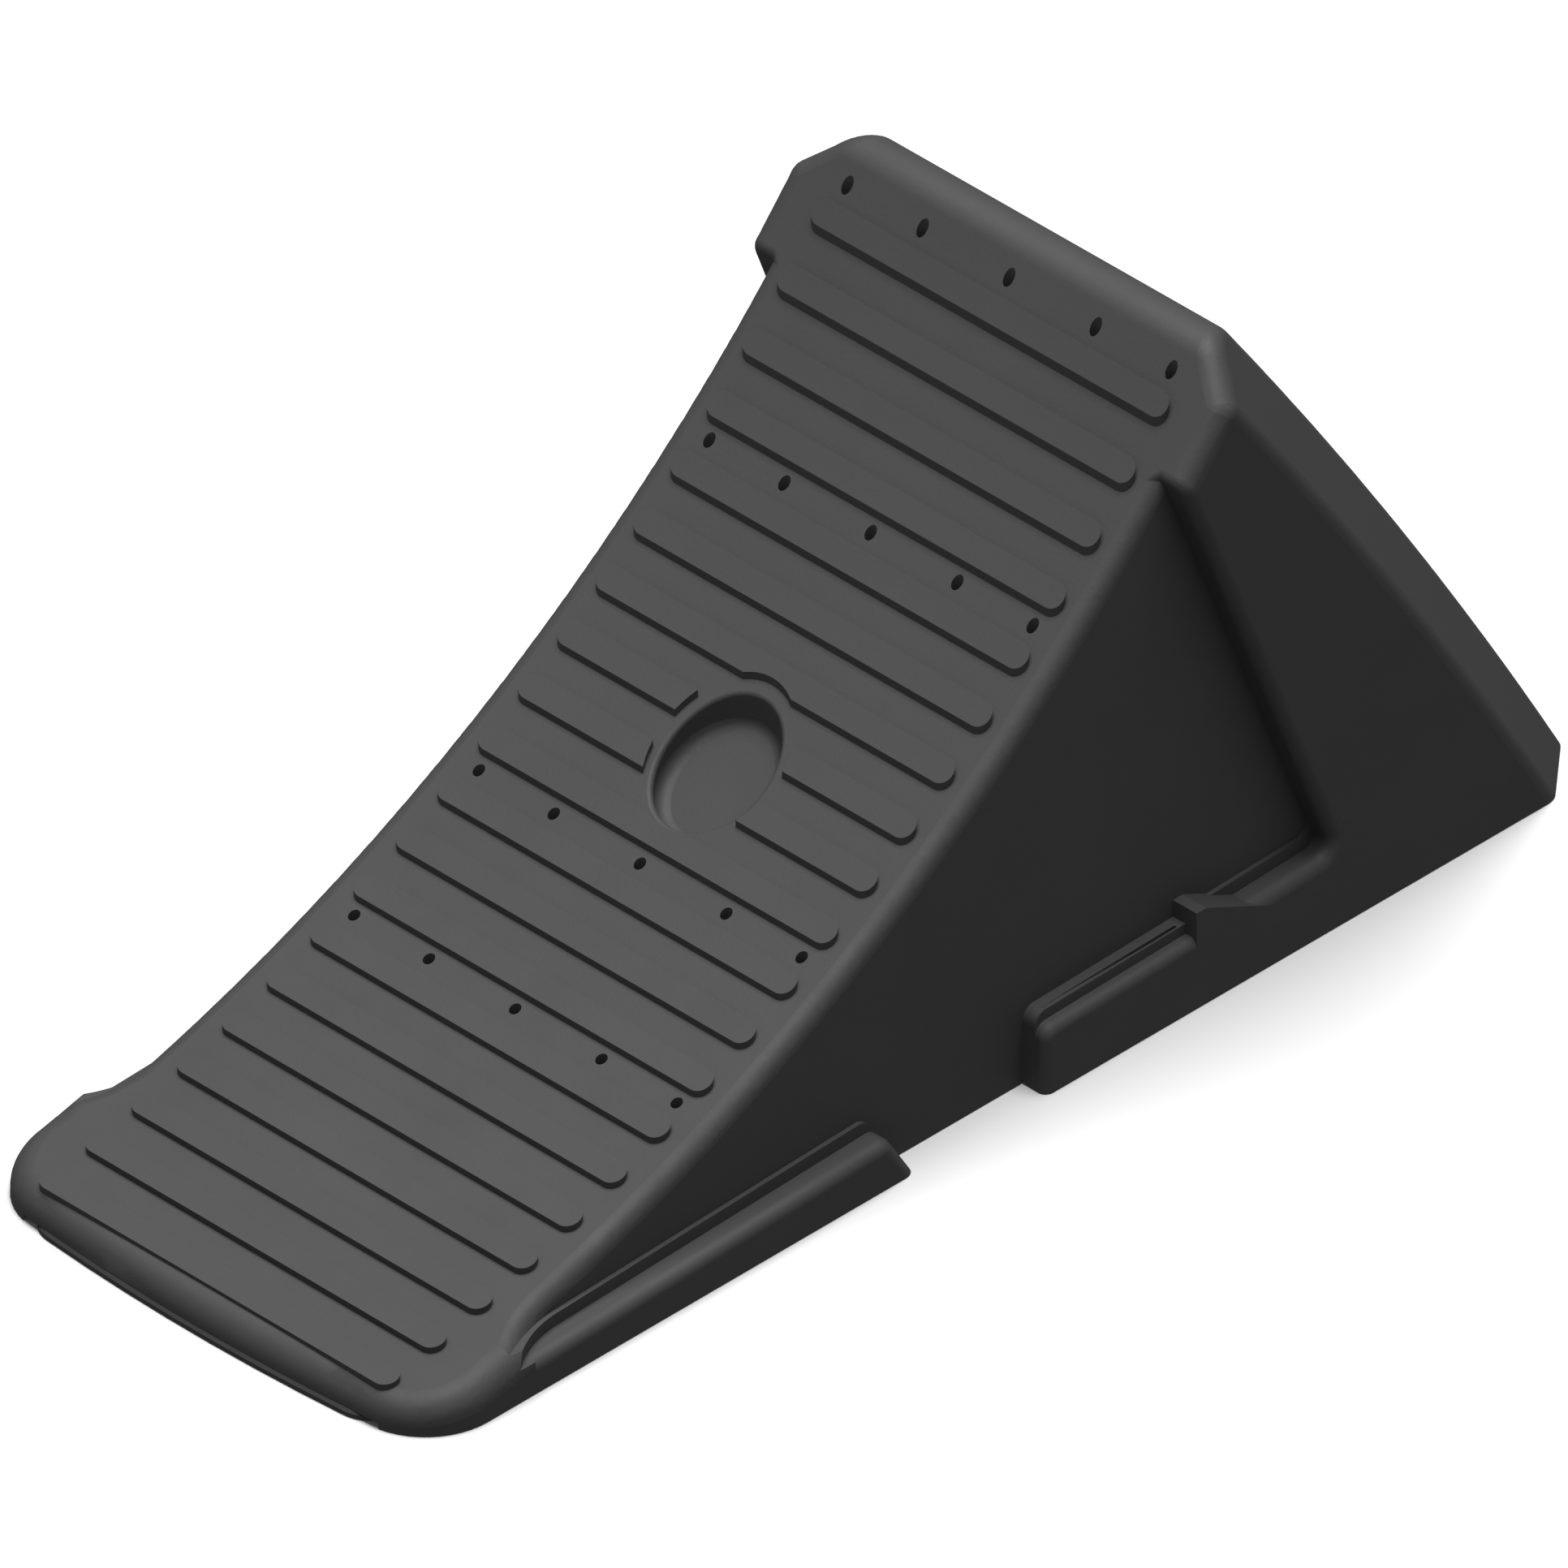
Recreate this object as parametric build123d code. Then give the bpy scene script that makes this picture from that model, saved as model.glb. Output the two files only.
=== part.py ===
from build123d import *
from math import cos, radians, sin, sqrt, tan
import os

# Plastic wheel chock with a closed, rubber-padded base, in millimetres.
#
# X runs from the toe (-X) to the back (+X), Y across the chock and Z up. The origin is the middle of the
# footprint on the ground. The chock is a hollow outer shell, a base plate screwed up into it, a grid of load
# ribs between the two, and four rubber pads let into the base plate.

# Overall size
LENGTH = 320.0
HALF_LENGTH = LENGTH / 2
HALF_WIDTH = 60.6
DRAFT = 1.0                      # degrees, both sides lean inwards
BLANK_HEIGHT = 160.0             # stock height before the cradle is cut

# Tyre cradle: part of a cylinder lying across the chock
CRADLE_RADIUS = 340.6
CRADLE_X = -210.8
CRADLE_Z = 342.4
CREST_ROUND = 6.5                # rounding where the cradle meets the back

# Back: a gently crowned face with chamfered corners
BACK_TOP_X = 71.96
BACK_TOP_Z = 137.2
BACK_RADIUS = 1490.0
BACK_CHAMFER = 12.6

# Toe
NOSE_HEIGHT = 7.1
NOSE_FRONT_X = -159.4
NOSE_BOW_RADIUS = 500.0
NOSE_CORNER_RADIUS = 16.6
NOSE_EDGE_ROUND = 5.5
NOSE_SPLIT_X = -128.0            # the nose is rounded as a block of its own up to here

# Side recesses, the same on both sides
RECESS_DEPTH = 6.3
LEDGE_STEP_DROP = 2.8            # the ledge is two steps: a narrow one and a wide one
LEDGE_STEP_WIDTH = 1.0
RECESS_ROUND = 3.0               # rounding of the recess outline's soft corners
RECESS_TOE_X = -117.0            # here the recess wall starts to sweep out to the side
RECESS_TOE_RADIUS = 24.0
FOOT_LEDGE = ((-140.0, 9.6), (-34.9, 13.2))
FOOT_REAR_X = -26.7
BLOCK_FRONT_X = 7.8
BLOCK_LEDGE = ((8.3, 17.0), (48.8, 18.0))
BLOCK_STEP_DROP = 2.3
BLOCK_STEP_WIDTH = 3.3
TOOTH = ((48.8, 21.8), (51.4, 21.8))
TOOTH_SLOPE = 0.46
UPPER_LEDGE = ((57.7, 18.9), (85.6, 19.8))
RECESS_BACK_TOP = (35.0, 150.0)
RAMP_EDGE_ROUND = 3.5            # rounding between the cradle and the recess walls
CORE_SPLIT_X = 60.0              # behind this the walls end below the cradle
SHOULDER_ROUND = 4.0
SHOULDER_SPLIT_X = 44.0          # the crest is rounded as a block of its own from here
LEDGE_ROUND = 2.4
BLOCK_ROUND = 2.0
RECESS_STEP_ROUND = 2.6
SLOT_WIDTH = 0.7                 # fine slot along the block's ledge
SLOT_DEPTH = 1.0
SLOT_SPAN = (9.5, 47.0)

# Grip bars
BAR_COUNT = 20
BAR_FIRST_ANGLE = 9.96           # degrees round the cradle from straight down
BAR_PITCH_ANGLE = 2.107
BAR_SPREAD = 0.0009              # the pitch widens towards the crest, with the cube of the bar number
BAR_SPREAD_FROM = 9
BAR_LENGTH = 94.5
BAR_WIDTH = 5.5
BAR_HEIGHT = 1.4
BAR_OVERLAP = 0.8                # depth the bars reach into the skin

# Round pocket in the cradle
POCKET_X = -19.2
POCKET_RADIUS = 12.2
POCKET_DEPTH = 5.7
POCKET_CLEAR_RADIUS = 14.6       # bars are cut back to this circle
POCKET_RIM_ROUND = 0.9
POCKET_FLOOR_ROUND = 2.4

# Drain holes through the cradle skin, one per rib cell
DRAIN_RADIUS = 1.2
DRAIN_ROWS_X = (-73.3, -40.0, 21.7, 58.7)
DRAIN_COLUMNS_Y = (-43.2, -23.1, 0.0, 23.1, 43.2)

# Hollow inside
WALL = 3.5
GAP = 0.2                        # fitting gap between separate pieces
CAVITY_TOE_X = -128.0
CAVITY_HALF_WIDTH = HALF_WIDTH - RECESS_DEPTH - WALL
CAVITY_CHAMFER = 6.0
CAVITY_TOP_Z = 126.0             # the crest above is solid

# Base plate, inside the walls, with a tongue that shows as a thin lip under the toe
PLATE_THICKNESS = 4.5
TONGUE_THICKNESS = 1.4
TONGUE_CHAMFER = 0.5
TONGUE_HALF_WIDTH = 48.0
TONGUE_CORNER_RADIUS = 9.0
OUTLET_X = (-60.0, -20.0, 20.0, 60.0)
OUTLET_RADIUS = 3.0

# Fasteners: short pan-head screws from below, each into a boss webbed to the side wall
SCREW_X = (-85.0, 8.0, 92.5)
SCREW_Y = 45.0
SCREW_HEAD_RADIUS = 4.0
SCREW_HEAD_HEIGHT = 2.4
SCREW_HEAD_ROUND = 0.8
SCREW_SINK = 0.4                 # the heads sit this far above the ground
SCREW_SHANK_RADIUS = 2.0
SCREW_LENGTH = 14.0
SCREW_SOCKET_RADIUS = 1.6
SCREW_SOCKET_DEPTH = 1.3
BOSS_RADIUS = 5.0
BOSS_TOP = 21.0
BOSS_WEB = 3.0

# Rib grid
RIB_THICKNESS = 2.6
RIB_TOE_X = -122.0
LONG_RIBS_Y = (-33.2, -11.5, 11.5, 33.2)
CROSS_RIBS_X = (-100.0, -57.0, -18.7, 40.0, 75.0, 110.0)

# Rubber pads, flush with the underside: name, centre x, centre y, length, width
PADS = (
    ("toe_grip_pad", -110.0, 0.0, 22.0, 84.0),
    ("heel_grip_pad", 128.0, 0.0, 34.0, 84.0),
    ("left_grip_pad", 8.0, 25.0, 150.0, 22.0),
    ("right_grip_pad", 8.0, -25.0, 150.0, 22.0),
)
PAD_THICKNESS = 2.0
PAD_CORNER_RADIUS = 4.0
PAD_RIB_PITCH = 6.0
PAD_GROOVE_WIDTH = 2.0
PAD_GROOVE_DEPTH = 1.0


def cylinder_across(radius):
    """Solid cylinder along Y on the cradle's axis."""
    axis_plane = Plane(origin=(CRADLE_X, 0, CRADLE_Z), x_dir=(1, 0, 0), z_dir=(0, -1, 0))
    return axis_plane * Cylinder(radius, 4 * HALF_WIDTH)


def box_between(low, high):
    """Box between two corners."""
    size = [b - a for a, b in zip(low, high)]
    centre = [(a + b) / 2 for a, b in zip(low, high)]
    return Pos(*centre) * Box(*size)


def wedge(inset=0.0):
    """Side profile of the chock, extruded the whole width; inset moves the cradle and back inwards."""
    lean = (HALF_LENGTH - BACK_TOP_X) / BACK_TOP_Z
    back_x = HALF_LENGTH - inset * sqrt(1 + lean ** 2)
    crown_x = back_x - lean * BACK_TOP_Z
    crown = RadiusArc((back_x, 0), (crown_x, BACK_TOP_Z), -BACK_RADIUS)
    climb = crown % 1
    tip = crown @ 1 + climb * ((BLANK_HEIGHT - BACK_TOP_Z) / climb.Y)
    front_x = -HALF_LENGTH - 5
    outline = crown + Line(crown @ 1, tip) + Line(tip, (front_x, BLANK_HEIGHT))
    outline += Line((front_x, BLANK_HEIGHT), (front_x, 0)) + Line((front_x, 0), (back_x, 0))
    blank = extrude(Plane.XZ * make_face(outline), HALF_WIDTH + 20, both=True)
    far = 2 * LENGTH
    tyre = cylinder_across(CRADLE_RADIUS + inset)
    tyre &= box_between((-far, -far, NOSE_HEIGHT - inset), (far, far, far))
    return blank - tyre


def on_line(start, end, height):
    """Point at a height on the line through two (x, z) points."""
    share = (height - start[1]) / (end[1] - start[1])
    return (start[0] + share * (end[0] - start[0]), height)


def recess_outline(foot_drop, block_drop):
    """Side view of a recess cut: above the foot, over the block and its tooth, up in front of the back."""
    below = -5.0
    toe, heel = FOOT_LEDGE
    foot_end = (FOOT_REAR_X, 0)
    block_end = (BLOCK_FRONT_X, below)
    heel_low = on_line(heel, foot_end, heel[1] - foot_drop)
    block_low = on_line(BLOCK_LEDGE[0], block_end, BLOCK_LEDGE[0][1] - block_drop)
    tooth_foot = (BLOCK_LEDGE[1][0], BLOCK_LEDGE[1][1] - block_drop)
    upper_height = UPPER_LEDGE[0][1] - foot_drop
    upper_start = (TOOTH[1][0] + (TOOTH[1][1] - upper_height) / TOOTH_SLOPE, upper_height)
    upper_end = on_line(UPPER_LEDGE[1], RECESS_BACK_TOP, UPPER_LEDGE[1][1] - foot_drop)
    points = [(toe[0], toe[1] - foot_drop), heel_low]
    points += [on_line(heel, foot_end, below), block_end, block_low, tooth_foot, *TOOTH]
    points += [upper_start, upper_end, RECESS_BACK_TOP, (toe[0], RECESS_BACK_TOP[1])]
    face = make_face(Polyline(*points, close=True))
    soft = [heel_low, block_low, upper_end]
    corners = [v for v in face.vertices() if any(abs(v.X - x) + abs(v.Y - z) < 0.01 for x, z in soft)]
    return fillet(corners, RECESS_ROUND)


def recess_core(half_width):
    """What a recess leaves standing: a drafted block whose walls sweep out to the sides at the toe."""
    sweep_y = half_width + RECESS_TOE_RADIUS
    toe = Pos(RECESS_TOE_X - LENGTH / 2, 0) * Rectangle(LENGTH, 2 * sweep_y)
    for side in (-1, 1):
        toe -= Pos(RECESS_TOE_X, side * sweep_y) * Circle(RECESS_TOE_RADIUS)
    plan = toe + Rectangle(3 * LENGTH, 2 * half_width)
    return extrude(plan, BLANK_HEIGHT, taper=DRAFT)


def edges_where(shape, test):
    """Edges whose bounding box passes the test."""
    return [edge for edge in shape.edges() if test(edge.bounding_box())]


def rounded_core():
    """Innermost recess core, with its top edges rounded where they meet the cradle."""
    plain = recess_core(HALF_WIDTH - RECESS_DEPTH)
    core = wedge() & plain & box_between((-138, -LENGTH, 0), (CORE_SPLIT_X, LENGTH, BLANK_HEIGHT))
    tops = edges_where(core, lambda box: box.max.X - box.min.X > 100 and box.min.Z > NOSE_HEIGHT)
    rear = plain & box_between((CORE_SPLIT_X, -LENGTH, 0), (LENGTH, LENGTH, BLANK_HEIGHT))
    return fillet(tops, RAMP_EDGE_ROUND) + rear


def recess_prism(foot_drop, block_drop):
    """Recess outline extruded the whole width."""
    prism = extrude(Plane.XZ * recess_outline(foot_drop, block_drop), HALF_WIDTH + 20, both=True)
    return prism & box_between((-LENGTH, -LENGTH, 0), (LENGTH, LENGTH, BLANK_HEIGHT))


def footprint():
    """Plan outline of the shell: straight sides, bowed toe and round toe corners."""
    long_box = Rectangle(2 * LENGTH, 2 * HALF_WIDTH)
    bow = Pos(NOSE_FRONT_X + NOSE_BOW_RADIUS, 0) * Circle(NOSE_BOW_RADIUS)
    face = (long_box & bow).faces()[0]
    corners = face.vertices().sort_by(Axis.X)[:2]
    return fillet(corners, NOSE_CORNER_RADIUS)


def rounded_nose(full):
    """Toe end of the body with its top edge rounded all the way round."""
    nose = full & box_between((-LENGTH, -LENGTH, 0), (NOSE_SPLIT_X, LENGTH, BLANK_HEIGHT))
    rim = edges_where(nose, lambda box: box.min.Z > NOSE_HEIGHT - 0.1 and box.min.X < NOSE_SPLIT_X - 1)
    across = edges_where(nose, lambda box: box.max.X - box.min.X < 0.01 and box.max.Y - box.min.Y > HALF_WIDTH)
    return fillet([edge for edge in rim if edge not in across], NOSE_EDGE_ROUND)


def rounded_crest(full):
    """Back end of the body: chamfered corners, rounded crest and rounded shoulders."""
    rear = full & box_between((SHOULDER_SPLIT_X, -LENGTH, 0), (LENGTH, LENGTH, BLANK_HEIGHT))
    corners = edges_where(rear, lambda box: box.min.Z < 1 and box.max.Z > 120 and box.min.X > SHOULDER_SPLIT_X + 1)
    rear = chamfer(corners, BACK_CHAMFER)
    rear = fillet(edges_where(rear, lambda box: box.min.Z > BACK_TOP_Z + 5), CREST_ROUND)
    low = BACK_TOP_Z - 30

    def is_shoulder(box):
        sloping = box.max.X - box.min.X > 1
        return sloping and box.min.Z > low and box.max.X < BACK_TOP_X - 9 and abs(box.min.Y + box.max.Y) > 40

    rear = fillet(edges_where(rear, is_shoulder), SHOULDER_ROUND)
    return rear


def depth_inside(y, z):
    """How far a point lies inside the drafted side face."""
    return HALF_WIDTH - z * tan(radians(DRAFT)) - abs(y)


def side_edges(shape, low, high):
    """Edges on the side faces that lie in a box of (x, z) limits and rise above its floor."""
    found = []
    for edge in shape.edges():
        box = edge.bounding_box()
        inside = box.min.X > low[0] and box.max.X < high[0] and box.max.Z > low[1] and box.max.Z < high[1]
        points = [edge @ 0, edge @ 0.5, edge @ 1]
        if inside and all(abs(depth_inside(p.Y, p.Z)) < 0.02 for p in points):
            found.append(edge)
    return found


def rounded_feet(body):
    """Body with the outer edges of its two front feet rounded, each foot as a strip of its own."""
    inner = HALF_WIDTH - RECESS_DEPTH + LEDGE_STEP_WIDTH + 0.6
    for side in (-1, 1):
        limits = sorted((side * inner, side * HALF_WIDTH * 1.5))
        reach = box_between((NOSE_SPLIT_X, limits[0], -1), (FOOT_REAR_X + 5, limits[1], BLANK_HEIGHT))
        strip = (body & reach).solids()[0]
        edges = side_edges(strip, (NOSE_SPLIT_X - 0.1, 1), (FOOT_REAR_X + 0.1, BLANK_HEIGHT))
        edges = [edge for edge in edges if edge.bounding_box().max.X > NOSE_SPLIT_X + 1]
        body = (body - reach) + fillet(edges, LEDGE_ROUND)
    return body


def outer_body():
    """Solid outer form: wedge with round nose, chamfered back and stepped side recesses."""
    full = wedge() & extrude(footprint(), BLANK_HEIGHT, taper=DRAFT)
    middle = full & box_between((NOSE_SPLIT_X, -LENGTH, 0), (SHOULDER_SPLIT_X, LENGTH, BLANK_HEIGHT))
    body = rounded_nose(full) + middle + rounded_crest(full)
    body -= recess_prism(0, 0) - rounded_core()
    wall = HALF_WIDTH - RECESS_DEPTH
    body -= recess_prism(LEDGE_STEP_DROP, 0) - recess_core(wall + LEDGE_STEP_WIDTH)
    block_zone = box_between((-10, -LENGTH, 0), (TOOTH[0][0], LENGTH, BLANK_HEIGHT))
    body -= (recess_prism(LEDGE_STEP_DROP, BLOCK_STEP_DROP) & block_zone) - recess_core(wall + BLOCK_STEP_WIDTH)

    tooth_x = TOOTH[0][0]
    body = fillet(side_edges(body, (BLOCK_FRONT_X - 1, 10), (tooth_x + 0.1, 16)), BLOCK_ROUND)
    ledge = side_edges(body, (tooth_x + 12, 16), (UPPER_LEDGE[1][0] + 1, 21))
    step = side_edges(body, (tooth_x - 2, 100), (UPPER_LEDGE[1][0] + 1, 118))
    body = fillet(ledge + step, RECESS_STEP_ROUND)
    return rounded_feet(body)


def cradle_point(angle, inset=0.0):
    """Point on the cradle at an angle in degrees from straight below its axis."""
    radius = CRADLE_RADIUS + inset
    return (CRADLE_X + radius * sin(radians(angle)), 0, CRADLE_Z - radius * cos(radians(angle)))


def grip_bars():
    """Raised bars across the cradle, with straight-drawn sides, cut back round the pocket."""
    bars = []
    for index in range(BAR_COUNT):
        spread = BAR_SPREAD * max(0, index - BAR_SPREAD_FROM) ** 3
        angle = BAR_FIRST_ANGLE + index * BAR_PITCH_ANGLE + spread
        along = (0, 1, 0)
        normal = (-sin(radians(angle)), 0, cos(radians(angle)))
        plane = Plane(origin=cradle_point(angle), x_dir=along, z_dir=normal)
        face = plane * SlotOverall(BAR_LENGTH, BAR_WIDTH)
        bars.append(extrude(face, 5, dir=(0, 0, 1), both=True))
    ring = cylinder_across(CRADLE_RADIUS + BAR_OVERLAP) - cylinder_across(CRADLE_RADIUS - BAR_HEIGHT)
    clear = Pos(POCKET_X, 0, 0) * Cylinder(POCKET_CLEAR_RADIUS, 2 * BLANK_HEIGHT)
    return [(bar & ring) - clear for bar in bars]


def pocketed(body):
    """Body with the round pocket sunk in: its floor follows the cradle, floor and rim are rounded."""
    bore = Pos(POCKET_X, 0, BLANK_HEIGHT / 2) * Cylinder(POCKET_RADIUS, BLANK_HEIGHT)
    tool = bore & cylinder_across(CRADLE_RADIUS + POCKET_DEPTH)
    floor = edges_where(tool, lambda box: box.max.X - box.min.X > POCKET_RADIUS and box.max.Z < BLANK_HEIGHT - 1)
    body -= fillet(floor, POCKET_FLOOR_ROUND)
    around = edges_where(body, lambda box: abs(box.max.Y - POCKET_RADIUS) < 0.1 and box.max.X < POCKET_X + 14)
    rim = max(around, key=lambda edge: edge.bounding_box().max.Z)
    return fillet(rim, POCKET_RIM_ROUND)


def block_slots(body):
    """Fine slot along the inner ledge of each block, pointed at its front and round at its rear."""
    centre_y = HALF_WIDTH - RECESS_DEPTH + BLOCK_STEP_WIDTH - 1.1
    half = SLOT_WIDTH / 2
    start, end = SLOT_SPAN
    floor_z = BLOCK_LEDGE[1][1] - SLOT_DEPTH
    point = Polyline((end - half, -half), (start + 8, -half), (start, 0), (start + 8, half), (end - half, half))
    outline = point + ThreePointArc((end - half, half), (end, 0), (end - half, -half))
    for side in (-1, 1):
        body -= extrude(Pos(0, side * centre_y, floor_z) * make_face(outline), 10)
    return body


def inner_core(gap):
    """Drafted block as wide as the hollow, less a gap all round."""
    toe_x = CAVITY_TOE_X + gap
    plan = Pos(toe_x + LENGTH / 2, 0) * Rectangle(LENGTH, 2 * (CAVITY_HALF_WIDTH - gap))
    top = CAVITY_TOP_Z - gap
    return extrude(plan, BLANK_HEIGHT, taper=DRAFT) & box_between((toe_x, -LENGTH, 0), (LENGTH, LENGTH, top))


def pocket_collar(growth):
    """Solid under the pocket that carries its wall and floor, grown by a margin."""
    column = Pos(POCKET_X, 0, BLANK_HEIGHT / 2) * Cylinder(POCKET_RADIUS + growth, BLANK_HEIGHT)
    return column & cylinder_across(CRADLE_RADIUS + POCKET_DEPTH + growth)


def hollow(gap):
    """Room inside the shell, less a gap all round and less the collar of the pocket."""
    room = wedge(WALL + gap) & inner_core(gap)
    corners = edges_where(room, lambda box: box.min.Z < 1 and box.max.Z > 100)
    return chamfer(corners, CAVITY_CHAMFER) - pocket_collar(WALL + gap)


def screw_places():
    """Ground positions of the base screws."""
    return [(x, side * SCREW_Y) for x in SCREW_X for side in (-1, 1)]


def tongue(half_width, front_x, thickness):
    """Flat tongue under the toe, bowed like the nose."""
    plan = Rectangle(2 * LENGTH, 2 * half_width) & Pos(front_x + NOSE_BOW_RADIUS, 0) * Circle(NOSE_BOW_RADIUS)
    face = fillet(plan.faces()[0].vertices().sort_by(Axis.X)[:2], TONGUE_CORNER_RADIUS)
    return extrude(face, thickness) & box_between((-LENGTH, -LENGTH, 0), (CAVITY_TOE_X + 2, LENGTH, thickness))


def screw_bosses():
    """Bosses for the base screws, each with a web to the nearest side wall, bored for the shank."""
    low = PLATE_THICKNESS + GAP
    height = BOSS_TOP - low
    bosses = []
    for x, y in screw_places():
        side = 1 if y > 0 else -1
        boss = Pos(x, y, low + height / 2) * Cylinder(BOSS_RADIUS, height)
        wall_y = side * (CAVITY_HALF_WIDTH + WALL / 2)
        boss += Pos(x, (y + wall_y) / 2, low + height / 2) * Box(BOSS_WEB, abs(wall_y - y), height)
        bosses.append(boss - Pos(x, y, low) * Cylinder(SCREW_SHANK_RADIUS + GAP / 2, 2 * SCREW_LENGTH))
    return bosses


def ramp_shell():
    """The moulding seen from outside, open below."""
    shell = pocketed(block_slots(outer_body())) - hollow(0)
    shell -= tongue(TONGUE_HALF_WIDTH + GAP, NOSE_FRONT_X - 5, TONGUE_THICKNESS)
    shell += screw_bosses()
    shell += grip_bars()
    drains = [Pos(x, y, 0) * Cylinder(DRAIN_RADIUS, 2 * BLANK_HEIGHT) for x in DRAIN_ROWS_X for y in DRAIN_COLUMNS_Y]
    return shell - drains


def base_plate():
    """Closing plate with seats for the pads, screw holes and water outlets."""
    slab = hollow(GAP) & box_between((-LENGTH, -LENGTH, 0), (LENGTH, LENGTH, PLATE_THICKNESS))
    lip = tongue(TONGUE_HALF_WIDTH, -HALF_LENGTH, TONGUE_THICKNESS)
    rim = edges_where(lip, lambda box: box.min.Z > TONGUE_THICKNESS - 0.1 and box.min.X < NOSE_FRONT_X)
    plate = slab + chamfer(rim, TONGUE_CHAMFER)
    for name, x, y, length, width in PADS:
        seat = Pos(x, y) * RectangleRounded(length + 2 * GAP, width + 2 * GAP, PAD_CORNER_RADIUS)
        plate -= extrude(seat, PAD_THICKNESS)
    for x, y in screw_places():
        plate -= Pos(x, y, 0) * Cylinder(SCREW_SHANK_RADIUS + GAP, 4 * PLATE_THICKNESS)
        plate -= Pos(x, y, 0) * Cylinder(SCREW_HEAD_RADIUS + GAP, 2 * (SCREW_SINK + SCREW_HEAD_HEIGHT))
    return plate - [Pos(x, 0, 0) * Cylinder(OUTLET_RADIUS, 4 * PLATE_THICKNESS) for x in OUTLET_X]


def rib_core():
    """Grid of upright ribs that carries the load from the cradle down to the plate."""
    low = PLATE_THICKNESS
    grid = []
    for y in LONG_RIBS_Y:
        half = RIB_THICKNESS / 2
        grid.append(box_between((RIB_TOE_X, y - half, low), (LENGTH, y + half, BLANK_HEIGHT)))
    for x in CROSS_RIBS_X:
        half = RIB_THICKNESS / 2
        grid.append(box_between((x - half, -LENGTH, low), (x + half, LENGTH, BLANK_HEIGHT)))
    ribs = grid[0] + grid[1:]
    return ribs & hollow(GAP)


def grip_pad(x, y, length, width):
    """Rubber pad with grooves across its underside."""
    pad = extrude(Pos(x, y) * RectangleRounded(length, width, PAD_CORNER_RADIUS), PAD_THICKNESS)
    count = int((length - PAD_RIB_PITCH) / PAD_RIB_PITCH)
    for index in range(count):
        groove_x = x + (index - (count - 1) / 2) * PAD_RIB_PITCH
        pad -= Pos(groove_x, y, 0) * Box(PAD_GROOVE_WIDTH, 2 * width, 2 * PAD_GROOVE_DEPTH)
    return pad


def base_screw(x, y):
    """Pan-head screw, head down, with a hexagon socket."""
    head = Pos(x, y, SCREW_SINK + SCREW_HEAD_HEIGHT / 2) * Cylinder(SCREW_HEAD_RADIUS, SCREW_HEAD_HEIGHT)
    head = fillet(head.edges().sort_by(Axis.Z)[0], SCREW_HEAD_ROUND)
    head -= extrude(Pos(x, y, SCREW_SINK) * RegularPolygon(SCREW_SOCKET_RADIUS, 6), SCREW_SOCKET_DEPTH)
    shank_z = SCREW_SINK + SCREW_HEAD_HEIGHT + SCREW_LENGTH / 2
    return head + Pos(x, y, shank_z) * Cylinder(SCREW_SHANK_RADIUS, SCREW_LENGTH)


def main():
    """Build every piece and write one STEP file for each."""
    os.makedirs("parts", exist_ok=True)
    pieces = {
        "ramp_shell": ramp_shell(),
        "base_plate": base_plate(),
        "rib_core": rib_core(),
        "base_screws": Compound([base_screw(x, y) for x, y in screw_places()]),
    }
    for name, x, y, length, width in PADS:
        pieces[name] = grip_pad(x, y, length, width)
    for name, piece in pieces.items():
        export_step(piece, f"parts/{name}.step")


if __name__ == "__main__":
    main()
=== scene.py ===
"""Wheel chock that doubles as a levelling ramp: finishes, floor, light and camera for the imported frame."""

import logging
import math
from dataclasses import dataclass
from enum import Enum
from typing import Any

import bmesh
import bpy
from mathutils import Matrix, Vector

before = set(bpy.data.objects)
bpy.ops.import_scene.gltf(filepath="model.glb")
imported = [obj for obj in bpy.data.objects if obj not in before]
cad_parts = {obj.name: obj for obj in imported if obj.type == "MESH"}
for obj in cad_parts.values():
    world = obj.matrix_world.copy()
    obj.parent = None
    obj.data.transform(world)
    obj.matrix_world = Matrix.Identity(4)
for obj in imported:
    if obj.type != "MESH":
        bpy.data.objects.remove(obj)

LOG = logging.getLogger("wheel_chock")
MM = 0.001


class Pattern(Enum):
    """The textures that the grains and mottles are drawn with, by Blender's node name."""

    CLOUD = "ShaderNodeTexNoise"
    PEBBLE = "ShaderNodeTexVoronoi"


def linear(hex_colour: str) -> tuple[float, float, float, float]:
    """Turn an sRGB hex colour into linear RGBA.

    Args:
        hex_colour: Six hex digits, with or without a leading hash.

    Returns:
        The colour as linear red, green, blue and an alpha of 1.
    """
    digits = hex_colour.lstrip("#")
    channels = [int(digits[i:i + 2], 16) / 255 for i in (0, 2, 4)]
    r, g, b = [c / 12.92 if c <= 0.04045 else ((c + 0.055) / 1.055) ** 2.4 for c in channels]
    return (r, g, b, 1.0)


def waves_per_metre(size_mm: float) -> float:
    """Pattern scale on Object coordinates for features of one real size.

    Args:
        size_mm: Distance from one feature of the pattern to the next.

    Returns:
        The scale to set on a texture node.
    """
    return 1.0 / (size_mm * MM)


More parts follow.
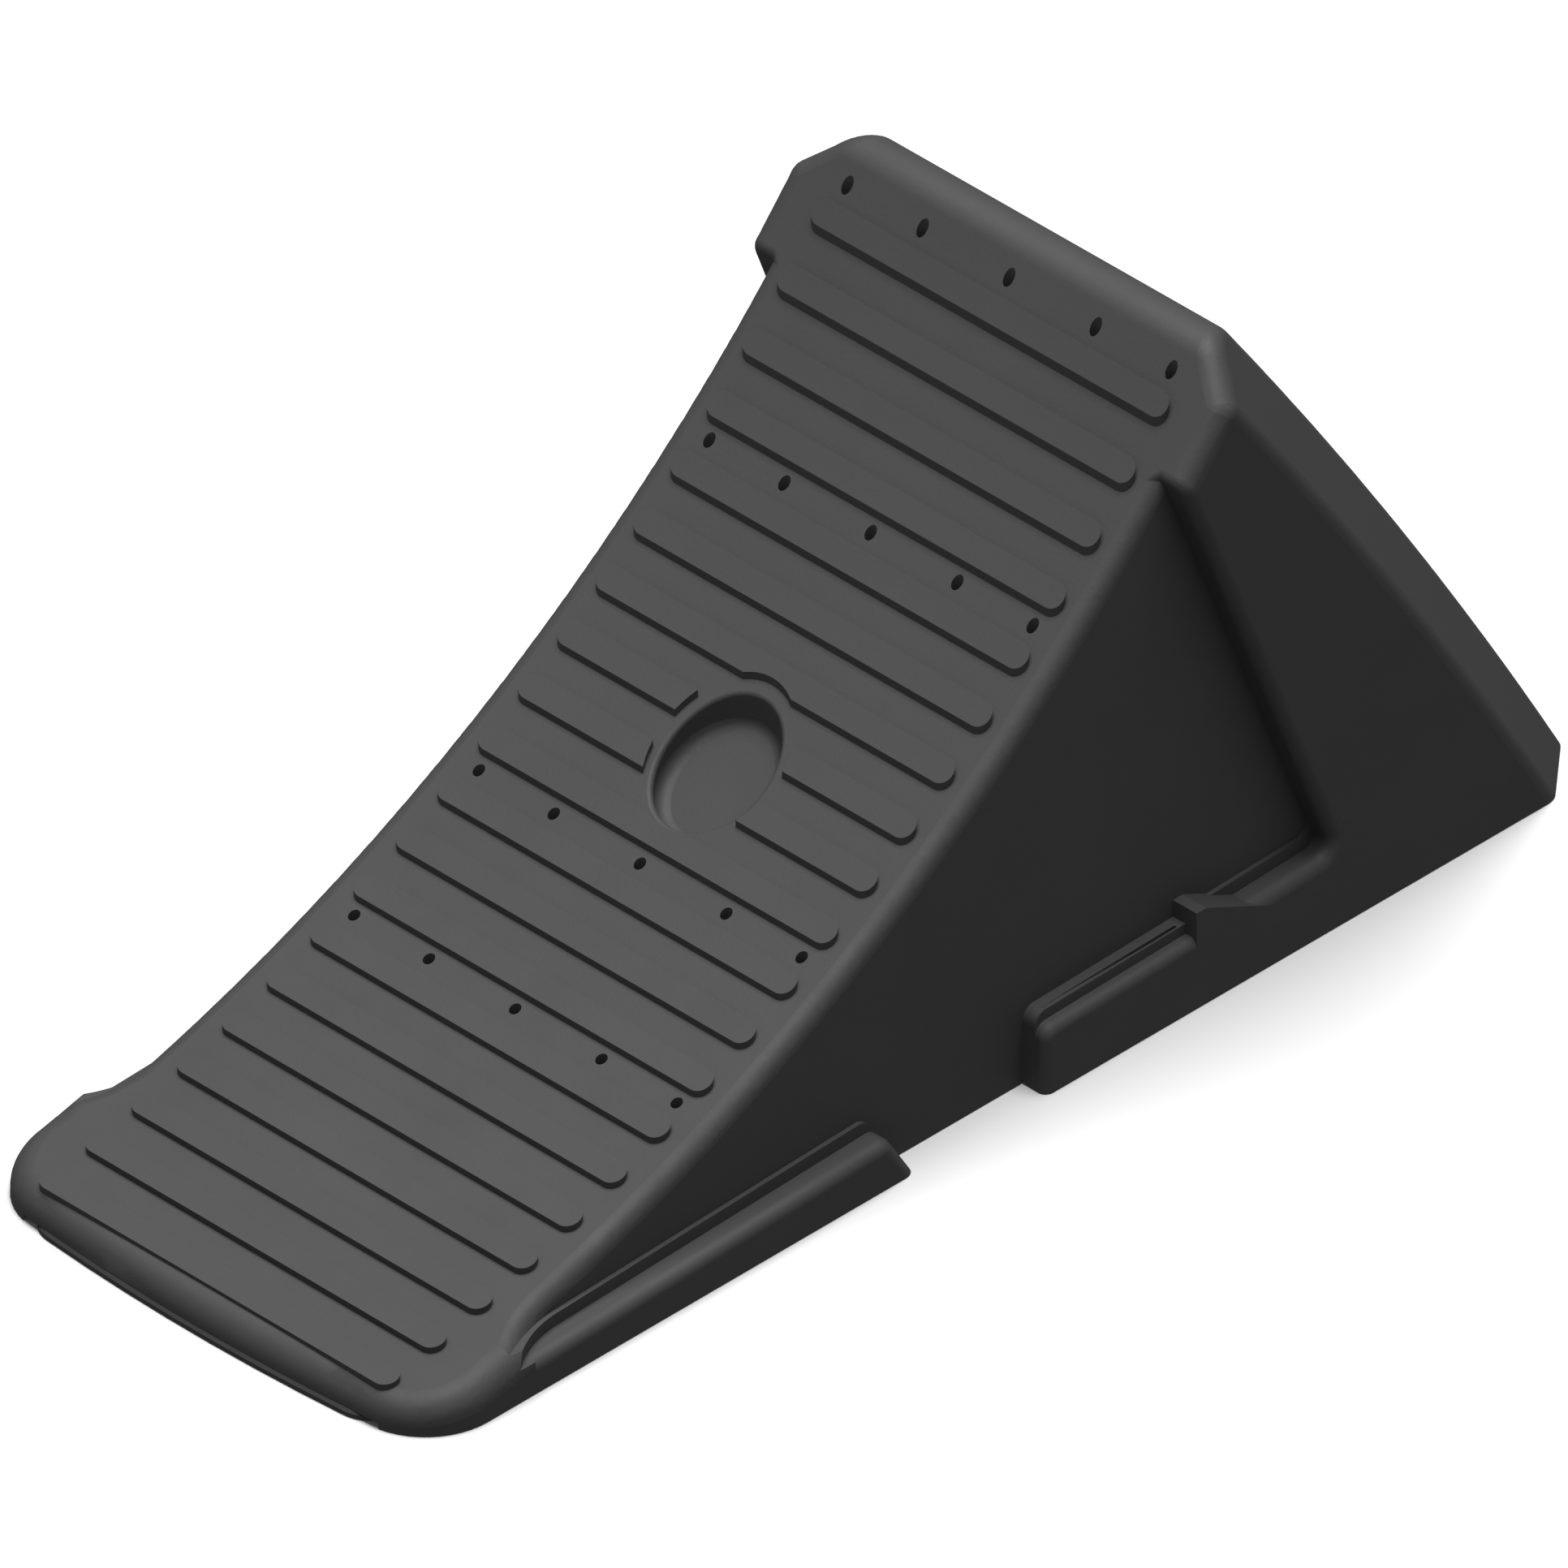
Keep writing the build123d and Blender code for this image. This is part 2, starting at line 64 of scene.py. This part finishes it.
def add_node(
    tree: bpy.types.NodeTree,
    kind: str,
    settings: dict[str, Any] | None = None,
    inputs: dict[str | int, Any] | None = None,
) -> bpy.types.Node:
    """Add a shader node with its settings, constants and links.

    Args:
        tree: Node tree that receives the node.
        kind: Blender's identifier of the node.
        settings: Node properties to set.
        inputs: For each input socket, a constant or the output socket to link.

    Returns:
        The new node.
    """
    node = tree.nodes.new(kind)
    for name, value in (settings or {}).items():
        setattr(node, name, value)
    for name, value in (inputs or {}).items():
        if isinstance(value, bpy.types.NodeSocket):
            tree.links.new(value, node.inputs[name])
        else:
            node.inputs[name].default_value = value
    return node


@dataclass(frozen=True)
class MouldedPlastic:
    """Injection-moulded polypropylene, coloured through with carbon black.

    The mould was spark-eroded, so the skin is matte with a fine pebbled grain. The eye sees a soft, even sheen
    that breaks up at grazing angles, and faint cloudy flow marks.

    Attributes:
        name: Material name.
        dark: Colour of the plastic in its darkest flow marks.
        light: Colour of the plastic in its lightest flow marks.
        roughness: Middle roughness of the skin.
        grain_mm: Spacing of the moulded grain. The real grain is about 0.2 mm, too fine to show, so it is
            drawn coarser.
        grain_depth_mm: Depth of the grain.
        ior: Refractive index.
    """

    name: str = "polypropylene_spark_eroded"
    dark: str = "#404041"
    light: str = "#454546"
    roughness: float = 0.66
    grain_mm: float = 0.9
    grain_depth_mm: float = 0.018
    ior: float = 1.49

    def build(self) -> bpy.types.Material:
        """Make the material.

        Returns:
            The finished material.
        """
        material = bpy.data.materials.new(self.name)
        material.use_nodes = True
        tree = material.node_tree
        shader = tree.nodes["Principled BSDF"]
        shader.inputs["IOR"].default_value = self.ior
        place = add_node(tree, "ShaderNodeTexCoord").outputs["Object"]
        # Melt flow leaves clouds a few centimetres across in the tone of the skin.
        flow = add_node(tree, Pattern.CLOUD.value, inputs={
            "Vector": place, "Scale": waves_per_metre(45), "Detail": 3.0, "Roughness": 0.5})
        tone = add_node(tree, "ShaderNodeMix", {"data_type": "RGBA"}, {
            "Factor": flow.outputs["Fac"], 6: linear(self.dark), 7: linear(self.light)})
        tree.links.new(tone.outputs[2], shader.inputs["Base Color"])
        # The grain itself: small rounded pebbles, with a finer noise on top.
        pebble = add_node(tree, Pattern.PEBBLE.value, {"feature": "SMOOTH_F1"}, {
            "Vector": place, "Scale": waves_per_metre(self.grain_mm), "Smoothness": 0.6})
        fine = add_node(tree, Pattern.CLOUD.value, inputs={
            "Vector": place, "Scale": waves_per_metre(self.grain_mm * 0.7), "Detail": 2.0})
        height = add_node(tree, "ShaderNodeMath", {"operation": "MULTIPLY_ADD"}, {
            0: pebble.outputs["Distance"], 1: 0.6, 2: fine.outputs["Fac"]})
        bump = add_node(tree, "ShaderNodeBump", inputs={
            "Strength": 1.0, "Distance": self.grain_depth_mm * MM, "Height": height.outputs[0]})
        tree.links.new(bump.outputs["Normal"], shader.inputs["Normal"])
        # Handling polishes some patches of the skin a little.
        patches = add_node(tree, Pattern.CLOUD.value, inputs={
            "Vector": place, "Scale": waves_per_metre(18), "Detail": 4.0, "Roughness": 0.6})
        sheen = add_node(tree, "ShaderNodeMapRange", inputs={
            "Value": patches.outputs["Fac"], "From Min": 0.3, "From Max": 0.7,
            "To Min": self.roughness - 0.05, "To Max": self.roughness + 0.05})
        tree.links.new(sheen.outputs["Result"], shader.inputs["Roughness"])
        return material


@dataclass(frozen=True)
class GripRubber:
    """Compression-moulded EPDM rubber.

    It is nearly black and dull, with a dusty bloom that lightens broad patches and a close, soft grain.

    Attributes:
        name: Material name.
        clean: Colour of clean rubber.
        dusty: Colour under the bloom.
        grain_mm: Spacing of the grain.
    """

    name: str = "epdm_rubber_moulded"
    clean: str = "#1d1d1d"
    dusty: str = "#2b2a29"
    grain_mm: float = 0.7

    def build(self) -> bpy.types.Material:
        """Make the material.

        Returns:
            The finished material.
        """
        material = bpy.data.materials.new(self.name)
        material.use_nodes = True
        tree = material.node_tree
        shader = tree.nodes["Principled BSDF"]
        shader.inputs["IOR"].default_value = 1.52
        place = add_node(tree, "ShaderNodeTexCoord").outputs["Object"]
        bloom = add_node(tree, Pattern.CLOUD.value, inputs={
            "Vector": place, "Scale": waves_per_metre(12), "Detail": 5.0, "Roughness": 0.65})
        tone = add_node(tree, "ShaderNodeMix", {"data_type": "RGBA"}, {
            "Factor": bloom.outputs["Fac"], 6: linear(self.clean), 7: linear(self.dusty)})
        tree.links.new(tone.outputs[2], shader.inputs["Base Color"])
        dull = add_node(tree, "ShaderNodeMapRange", inputs={
            "Value": bloom.outputs["Fac"], "To Min": 0.72, "To Max": 0.92})
        tree.links.new(dull.outputs["Result"], shader.inputs["Roughness"])
        grain = add_node(tree, Pattern.CLOUD.value, inputs={
            "Vector": place, "Scale": waves_per_metre(self.grain_mm), "Detail": 3.0})
        bump = add_node(tree, "ShaderNodeBump", inputs={
            "Strength": 1.0, "Distance": 0.03 * MM, "Height": grain.outputs["Fac"]})
        tree.links.new(bump.outputs["Normal"], shader.inputs["Normal"])
        return material


@dataclass(frozen=True)
class ZincSteel:
    """Cold-headed steel screw with bright zinc plating.

    The plating gives a cool grey mirror with soft spangle and fine lines left by the heading die.

    Attributes:
        name: Material name.
        bright: Colour of the clean plating.
        dull: Colour where the plating has greyed.
    """

    name: str = "steel_zinc_plated"
    bright: str = "#c3c6c9"
    dull: str = "#9ea1a5"

    def build(self) -> bpy.types.Material:
        """Make the material.

        Returns:
            The finished material.
        """
        material = bpy.data.materials.new(self.name)
        material.use_nodes = True
        tree = material.node_tree
        shader = tree.nodes["Principled BSDF"]
        shader.inputs["Metallic"].default_value = 1.0
        place = add_node(tree, "ShaderNodeTexCoord").outputs["Object"]
        spangle = add_node(tree, Pattern.PEBBLE.value, {"feature": "F1"}, {
            "Vector": place, "Scale": waves_per_metre(0.8)})
        tone = add_node(tree, "ShaderNodeMix", {"data_type": "RGBA"}, {
            "Factor": spangle.outputs["Distance"], 6: linear(self.bright), 7: linear(self.dull)})
        tree.links.new(tone.outputs[2], shader.inputs["Base Color"])
        shine = add_node(tree, "ShaderNodeMapRange", inputs={
            "Value": spangle.outputs["Distance"], "To Min": 0.28, "To Max": 0.45})
        tree.links.new(shine.outputs["Result"], shader.inputs["Roughness"])
        lines = add_node(tree, Pattern.CLOUD.value, inputs={
            "Vector": place, "Scale": waves_per_metre(0.4), "Detail": 2.0})
        bump = add_node(tree, "ShaderNodeBump", inputs={
            "Strength": 1.0, "Distance": 0.01 * MM, "Height": lines.outputs["Fac"]})
        tree.links.new(bump.outputs["Normal"], shader.inputs["Normal"])
        return material


@dataclass
class Chock:
    """The chock's CAD pieces and the finishes they wear.

    Attributes:
        nodes: CAD objects by node name.
    """

    nodes: dict[str, bpy.types.Object]

    def dress(self, names: tuple[str, ...], material: bpy.types.Material) -> None:
        """Give pieces a finish.

        Args:
            names: Node names.
            material: Finish for all of them.
        """
        for name in names:
            mesh = self.nodes[name].data
            if not mesh.materials:
                mesh.materials.append(material)
            for index in range(len(mesh.materials)):
                mesh.materials[index] = material
            LOG.info("%s wears %s, %d faces", name, material.name, len(mesh.polygons))

    def build(self) -> None:
        """Dress every piece in its own finish."""
        self.dress(("ramp_shell",), MouldedPlastic().build())
        inner = MouldedPlastic("polypropylene_plain_mould", "#38383a", "#3e3e40", 0.58, 1.4, 0.012)
        self.dress(("base_plate", "rib_core"), inner.build())
        pads = ("toe_grip_pad", "heel_grip_pad", "left_grip_pad", "right_grip_pad")
        self.dress(pads, GripRubber().build())
        self.dress(("base_screws",), ZincSteel().build())


@dataclass
class Studio:
    """Pale floor, one soft overhead light and an even surrounding glow.

    Attributes:
        floor_size: Side of the square floor, in metres.
        lamp_height: Height of the overhead light.
        lamp_size: Side of the overhead light.
        lamp_power: Power of the overhead light, in watts.
        glow: Strength of the surrounding glow.
    """

    floor_size: float = 14.0
    lamp_height: float = 2.2
    lamp_size: float = 1.5
    lamp_power: float = 62.0
    glow: float = 0.18

    def floor(self) -> bpy.types.Object:
        """Lay the floor.

        Returns:
            The floor.
        """
        mesh = bpy.data.meshes.new("studio_floor")
        shape = bmesh.new()
        bmesh.ops.create_grid(shape, x_segments=1, y_segments=1, size=self.floor_size / 2)
        bmesh.ops.translate(shape, verts=shape.verts, vec=(0, 0, -0.0002))
        shape.to_mesh(mesh)
        shape.free()
        floor = bpy.data.objects.new("studio_floor", mesh)
        bpy.context.scene.collection.objects.link(floor)
        paper = bpy.data.materials.new("backdrop_paper_white")
        paper.use_nodes = True
        tree = paper.node_tree
        shader = tree.nodes["Principled BSDF"]
        shader.inputs["Base Color"].default_value = linear("#f4f4f4")
        shader.inputs["Roughness"].default_value = 0.9
        shader.inputs["Specular IOR Level"].default_value = 0.0
        mesh.materials.append(paper)
        floor.visible_diffuse = False
        floor.visible_glossy = False
        return floor

    def lamp(self) -> bpy.types.Object:
        """Hang the overhead light.

        Returns:
            The light.
        """
        light = bpy.data.lights.new("overhead_softbox", "AREA")
        light.shape = "SQUARE"
        light.size = self.lamp_size
        light.energy = self.lamp_power
        lamp = bpy.data.objects.new("overhead_softbox", light)
        lamp.location = (0.0, 0.0, self.lamp_height)
        bpy.context.scene.collection.objects.link(lamp)
        return lamp

    def surround(self) -> None:
        """Set the even glow of the room."""
        world = bpy.data.worlds.new("studio_surround")
        world.use_nodes = True
        back = world.node_tree.nodes["Background"]
        back.inputs["Color"].default_value = (1.0, 1.0, 1.0, 1.0)
        back.inputs["Strength"].default_value = self.glow
        bpy.context.scene.world = world

    def build(self) -> None:
        """Set up floor and light."""
        self.floor()
        self.lamp()
        self.surround()
        bpy.context.scene.view_settings.view_transform = "Standard"


@dataclass
class Viewpoint:
    """Long-lens camera, looking down from the toe's left corner.

    Attributes:
        aim: Point in the middle of the picture.
        lens: Focal length in millimetres.
        width: Width of the picture at the aim point, in metres.
    """

    aim: tuple[float, float, float] = (-0.0015, 0.0, 0.0469)
    lens: float = 1600.0
    width: float = 0.2968

    def build(self) -> bpy.types.Object:
        """Set up the camera.

        Returns:
            The camera.
        """
        data = bpy.data.cameras.new("studio_camera")
        data.sensor_width = 36.0
        data.lens = self.lens
        distance = self.width * self.lens / data.sensor_width
        data.clip_start = 0.1
        data.clip_end = 4 * distance
        camera = bpy.data.objects.new("studio_camera", data)
        back = Vector((-1.0, -1.0, 1.0)).normalized()
        camera.location = Vector(self.aim) + back * distance
        camera.rotation_mode = "QUATERNION"
        camera.rotation_quaternion = (-back).to_track_quat("-Z", "Y")
        bpy.context.scene.collection.objects.link(camera)
        bpy.context.scene.camera = camera
        return camera


def main() -> None:
    """Build the camera, the studio and the chock."""
    logging.basicConfig(level=logging.INFO, format="%(name)s: %(message)s")
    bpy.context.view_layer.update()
    Viewpoint().build()
    Studio().build()
    Chock(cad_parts).build()


if __name__ == "__main__":
    main()
